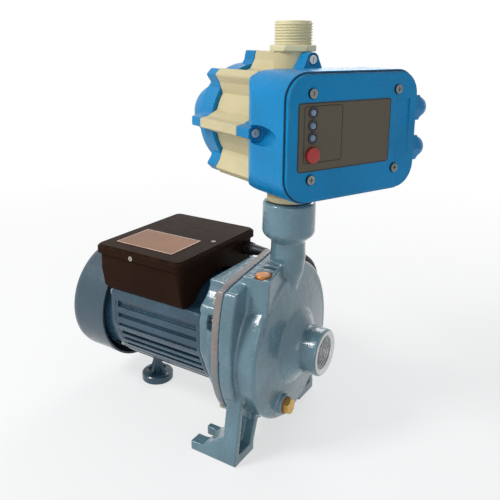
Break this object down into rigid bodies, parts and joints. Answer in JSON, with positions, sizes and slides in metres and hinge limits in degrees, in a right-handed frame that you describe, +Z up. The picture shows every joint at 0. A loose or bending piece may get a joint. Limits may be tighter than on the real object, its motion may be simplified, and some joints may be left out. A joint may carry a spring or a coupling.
{
  "type": "booster pump",
  "caption": "Domestic water booster pump: centrifugal pump on a finned motor with a flow and pressure control unit on its outlet, cord and plug.",
  "frame": {"origin": "on the floor, midway between the two foot bolt slots", "axes": "+X along the shaft towards the suction port, +Z up, +Y towards the side that the cable glands face"},
  "size_m": [0.329, 0.3412, 0.3915],
  "materials": {
    "casing_enamel": "glossy enamel over a sand casting",
    "motor_enamel": "glossy enamel",
    "cover_paint": "smooth semi-gloss paint on drawn steel",
    "zinc_steel": "zinc plated",
    "bare_steel": "ground",
    "lamination": "varnished sheet stack",
    "copper": "varnished copper wire",
    "brass": "turned",
    "plug_brass": "turned, tarnished orange",
    "fibre": "pressed fibre",
    "black_rubber": "smooth",
    "seal_carbon": "lapped",
    "ceramic": "lapped ceramic",
    "box_plastic": "semi-gloss, very dark brown",
    "fan_plastic": "moulded",
    "cord_black": "smooth PVC",
    "tie_plastic": "moulded",
    "plate_metal": "brushed, copper coloured",
    "white_plastic": "moulded",
    "cream_nylon": "moulded glass-filled nylon",
    "control_blue": "semi-gloss moulded",
    "label": "satin printed film",
    "bezel_dark": "polished",
    "lens": "polished, slightly clear",
    "button_red": "moulded",
    "board": "solder mask"
  },
  "bodies": {
    "pump": {"pump_casing": "casing_enamel", "motor_bracket": "motor_enamel", "motor_frame": "motor_enamel", "rear_endshield": "motor_enamel", "motor_foot": "motor_enamel", "fan_cover": "cover_paint", "casing_bolts": "zinc_steel", "tie_bolts": "zinc_steel", "fan_cover_screws": "zinc_steel", "motor_foot_bolt": "zinc_steel", "lid_screws": "zinc_steel", "ear_screws": "zinc_steel", "control_lid_screws": "zinc_steel", "front_bearing": "bare_steel", "rear_bearing": "bare_steel", "pressure_spring": "bare_steel", "valve_spring": "bare_steel", "pressure_piston": "bare_steel", "stator_core": "lamination", "windings": "copper", "casing_gasket": "black_rubber", "diaphragm": "black_rubber", "lid_seal": "black_rubber", "inlet_seal": "black_rubber", "seal_seat": "ceramic", "terminal_box": "box_plastic", "terminal_box_lid": "box_plastic", "cord_gland": "cord_black", "mains_cord": "cord_black", "cord_coil": "cord_black", "mains_plug": "cord_black", "cord_tie": "tie_plastic", "rating_plate": "plate_metal", "capacitor": "white_plastic", "terminal_block": "white_plastic", "control_body": "cream_nylon", "outlet_nipple": "cream_nylon", "valve_guide": "cream_nylon", "control_housing": "control_blue", "control_lid": "control_blue", "back_cap": "control_blue", "cable_glands": "control_blue", "control_label": "label", "lamp_bezels": "bezel_dark", "lamp_lenses": "lens", "circuit_board": "board"},
    "rotor": {"shaft": "bare_steel", "rotor_core": "lamination", "impeller": "brass", "impeller_nut": "zinc_steel", "impeller_key": "zinc_steel", "seal_head": "seal_carbon", "cooling_fan": "fan_plastic", "shaft_slinger": "black_rubber"},
    "reset_button": {"reset_button": "button_red"},
    "flow_valve": {"flow_valve": "white_plastic"},
    "priming_washer": {"priming_washer": "fibre"},
    "priming_plug": {"priming_plug": "plug_brass"},
    "drain_washer": {"drain_washer": "fibre"},
    "drain_plug": {"drain_plug": "brass"}
  },
  "joints": [
    {"name": "rotor_spin", "type": "hinge", "parent": "pump", "child": "rotor", "pos_m": [0, 0, 0.092], "axis": [1, 0, 0], "continuous": true},
    {"name": "reset_button_press", "type": "slide", "parent": "pump", "child": "reset_button", "axis": [-0.915, 0.4035, 0], "range_m": [0, 0.0015], "stiffness_N_per_m": 500, "springref_m": -0.002},
    {"name": "flow_valve_lift", "type": "slide", "parent": "pump", "child": "flow_valve", "axis": [0, 0, 1], "range_m": [0, 0.007], "stiffness_N_per_m": 40, "springref_m": -0.008, "deforming": ["valve_spring"]},
    {"name": "priming_plug_rise", "type": "slide", "parent": "pump", "child": "priming_washer", "axis": [0, 0, 1], "range_m": [0, 0.00635]},
    {"name": "priming_plug_turn", "type": "hinge", "parent": "priming_washer", "child": "priming_plug", "pos_m": [0.044, -0.0396, 0.17], "axis": [0, 0, 1], "range_deg": [0, 2520]},
    {"name": "drain_plug_travel", "type": "slide", "parent": "pump", "child": "drain_washer", "axis": [1, 0, 0], "range_m": [0, 0.00635]},
    {"name": "drain_plug_turn", "type": "hinge", "parent": "drain_washer", "child": "drain_plug", "pos_m": [0.062, -0.025, 0.042], "axis": [1, 0, 0], "range_deg": [0, 2520]}
  ],
  "couplings": [
    {"joint": "priming_plug_turn", "follows": "priming_plug_rise", "rad_per_m": 6927.4},
    {"joint": "drain_plug_turn", "follows": "drain_plug_travel", "rad_per_m": 6927.4}
  ]
}
